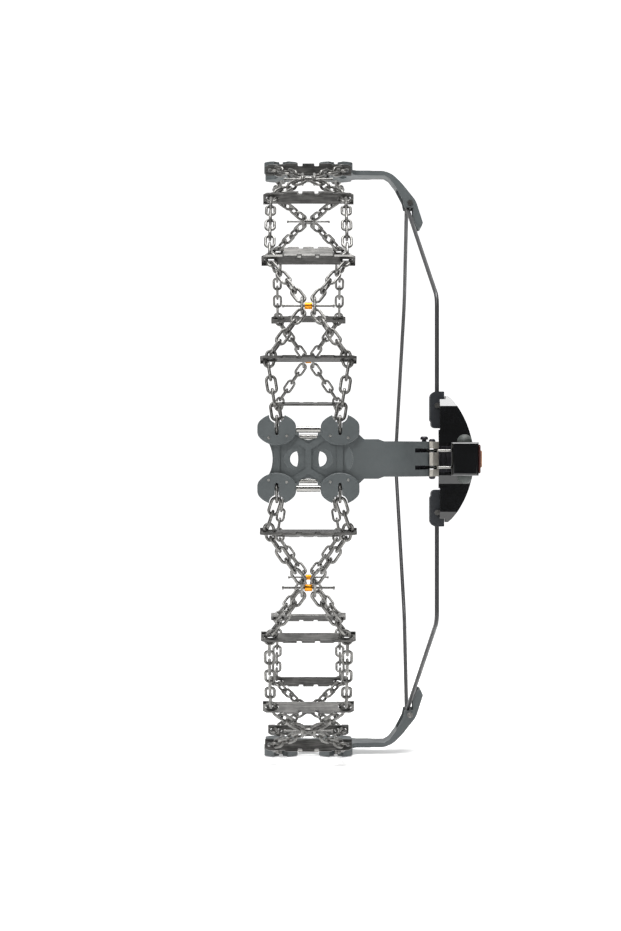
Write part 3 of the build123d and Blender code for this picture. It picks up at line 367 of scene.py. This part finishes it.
def brown_cap_plastic():
    # Moulded acetal cap: dark red-brown with a slight sheen and tiny pits.
    material, tree, shader, place = new_material("red_brown_acetal", Metallic=0.0)
    pits = noise(tree, place, 0.9, 3.0, 0.6)
    tree.links.new(blend_colours(tree, spread(tree, pits, 0.4, 0.7), "431a13", "2e120e"),
                   shader.inputs["Base Color"])
    tree.links.new(spread(tree, pits, 0.3, 0.7, 0.32, 0.46), shader.inputs["Roughness"])
    bump(tree, shader, pits, 0.04, 0.5)
    return material


def peach_button_plastic():
    # Moulded button: peach-orange, satin, slightly uneven where thumbs rub it.
    material, tree, shader, place = new_material("peach_button_abs", Metallic=0.0)
    rubbed = spread(tree, noise(tree, place, 6.0, 4.0, 0.6), 0.35, 0.7)
    tree.links.new(blend_colours(tree, rubbed, "b98a68", "9c7050"), shader.inputs["Base Color"])
    tree.links.new(spread(tree, rubbed, 0, 1, 0.3, 0.44), shader.inputs["Roughness"])
    bump(tree, shader, noise(tree, place, 0.8, 2.0, 0.5), 0.03, 0.4)
    return material


def textured_knob_plastic():
    # Spark-eroded grey plastic: coarse matt grain, drawn about twice as coarse as it is so that it shows.
    material, tree, shader, place = new_material("textured_grey_nylon", Metallic=0.0)
    grain = noise(tree, place, 1.4, 3.0, 0.6)
    tree.links.new(blend_colours(tree, spread(tree, grain, 0.35, 0.65), "4c514e", "373b39"),
                   shader.inputs["Base Color"])
    tree.links.new(spread(tree, grain, 0.3, 0.7, 0.5, 0.68), shader.inputs["Roughness"])
    bump(tree, shader, grain, 0.12, 0.8)
    return material


def strap_polyurethane():
    # Polyurethane strap: black, rubbery, with a light dusty bloom.
    material, tree, shader, place = new_material("polyurethane_strap", Metallic=0.0)
    bloom = spread(tree, noise(tree, place, 10.0, 5.0, 0.65), 0.4, 0.72)
    tree.links.new(blend_colours(tree, bloom, "1d1d1e", "2e2e2f"), shader.inputs["Base Color"])
    tree.links.new(spread(tree, bloom, 0, 1, 0.5, 0.66), shader.inputs["Roughness"])
    bump(tree, shader, noise(tree, place, 0.7, 3.0, 0.5), 0.05, 0.5)
    return material


FINISHES = {
    "chain_steel": zinc_plated_chain(),
    "bar_steel": hardened_bar_steel(),
    "plate_grey": epoxy_coated_casting(),
    "pin_steel": turned_steel(),
    "sleeve_steel": polished_tube(),
    "rivet_steel": bright_rivet(),
    "brass_spacer": brass_bush(),
    "rod_black": black_powder_coat(),
    "crosspiece_metal": satin_saddle_metal(),
    "knob_steel": black_oxide(),
    "gloss_black": gloss_black_shell(),
    "block_slate": slate_nylon(),
    "frame_black": black_oxide(),
    "cap_brown": brown_cap_plastic(),
    "button_peach": peach_button_plastic(),
    "knob_grey": textured_knob_plastic(),
    "strap_black": strap_polyurethane(),
}


def finish_nodes():
    """Gives every CAD node the finish of its slot."""
    for name, node in nodes.items():
        node.data.materials.clear()
        node.data.materials.append(FINISHES[slot_name(name)])
        for polygon in node.data.polygons:
            polygon.material_index = 0


# ---- pieces --------------------------------------------------------------------------------------------
def dress(prefixes, ending, width, segments=2, sharper_than=EDGE_ANGLE):
    """Gives the named nodes rounded edges."""
    for name in list(nodes):
        if any(name.startswith(prefix) for prefix in prefixes):
            dressed_copy(name, name + ending, width, FINISHES[slot_name(name)], segments, sharper_than)


def build_pieces():
    dress(["traction_plate"], "_casting", CAST_EDGE)
    dress(["slot_covers"], "_stamped", STAMPED_EDGE)
    dress(["grip_bar"], "_strip", STAMPED_EDGE)
    dress(["end_block", "lever_cap", "release_button"], "_moulded", MOULDED_EDGE, 3)
    dress(["ratchet_lever"], "_shell", MOULDED_EDGE, 3)
    dress(["bow"], "_shell", SHELL_EDGE, 3, SHELL_ANGLE)
    dress(["arm_crosspiece", "ratchet_frame", "bolt_adapter", "tension_strap"], "_formed", STAMPED_EDGE)


# ---- stage -----------------------------------------------------------------------------------------------
def plain_white(name, hex_colour, roughness, glow=0.0):
    material = bpy.data.materials.new(name)
    material.use_nodes = True
    shader = material.node_tree.nodes["Principled BSDF"]
    shader.inputs["Base Color"].default_value = linear(hex_colour)
    shader.inputs["Roughness"].default_value = roughness
    shader.inputs["Specular IOR Level"].default_value = 0.0
    shader.inputs["Emission Color"].default_value = (1, 1, 1, 1)
    shader.inputs["Emission Strength"].default_value = glow
    return material


def build_floor():
    """A pale floor that stops some way behind the object, and a far white wall behind it."""
    deselect()
    floor_height = cad_low[2] - FLOOR_GAP
    bpy.ops.mesh.primitive_plane_add(size=FLOOR_DEPTH,
                                     location=(0, FLOOR_BACK - FLOOR_DEPTH / 2, floor_height))
    floor = bpy.context.object
    floor.name = "studio_floor"
    floor.data.materials.append(plain_white("matt_white_floor", "f7f7f7", 0.9, FLOOR_GLOW))
    deselect()
    bpy.ops.mesh.primitive_plane_add(size=WALL_SIZE, location=(0, WALL_PLACE, 0),
                                     rotation=(math.pi / 2, 0, 0))
    wall = bpy.context.object
    wall.name = "studio_wall"
    wall.data.materials.append(plain_white("white_wall", "ffffff", 1.0, WALL_GLOW))


def add_area_light(name, place, target, size, power, colour=(1, 1, 1)):
    data = bpy.data.lights.new(name, "AREA")
    data.shape = "RECTANGLE"
    data.size = size[0]
    data.size_y = size[1]
    data.energy = power
    data.color = colour
    light = bpy.data.objects.new(name, data)
    bpy.context.scene.collection.objects.link(light)
    light.location = place
    direction = Vector(target) - Vector(place)
    light.rotation_euler = direction.to_track_quat("-Z", "Y").to_euler()
    return light


def build_lights():
    world = bpy.data.worlds.new("studio")
    world.use_nodes = True
    world.node_tree.nodes["Background"].inputs["Color"].default_value = (1, 1, 1, 1)
    world.node_tree.nodes["Background"].inputs["Strength"].default_value = WORLD_LIGHT
    bpy.context.scene.world = world
    add_area_light("top_softbox", *TOP_SOFTBOX)
    add_area_light("front_softbox", *FRONT_SOFTBOX)


def build_camera():
    data = bpy.data.cameras.new("camera")
    data.lens = CAMERA_LENS
    data.sensor_width = CAMERA_SENSOR
    data.shift_x = CAMERA_SHIFT[0]
    data.shift_y = CAMERA_SHIFT[1]
    data.clip_end = CAMERA_REACH
    camera = bpy.data.objects.new("camera", data)
    bpy.context.scene.collection.objects.link(camera)
    camera.location = (0.0, -CAMERA_DISTANCE, 0.0)
    camera.rotation_euler = (math.pi / 2, 0.0, 0.0)
    bpy.context.scene.camera = camera


finish_nodes()
build_pieces()
build_floor()
build_lights()
build_camera()
bpy.context.scene.view_settings.view_transform = "Standard"
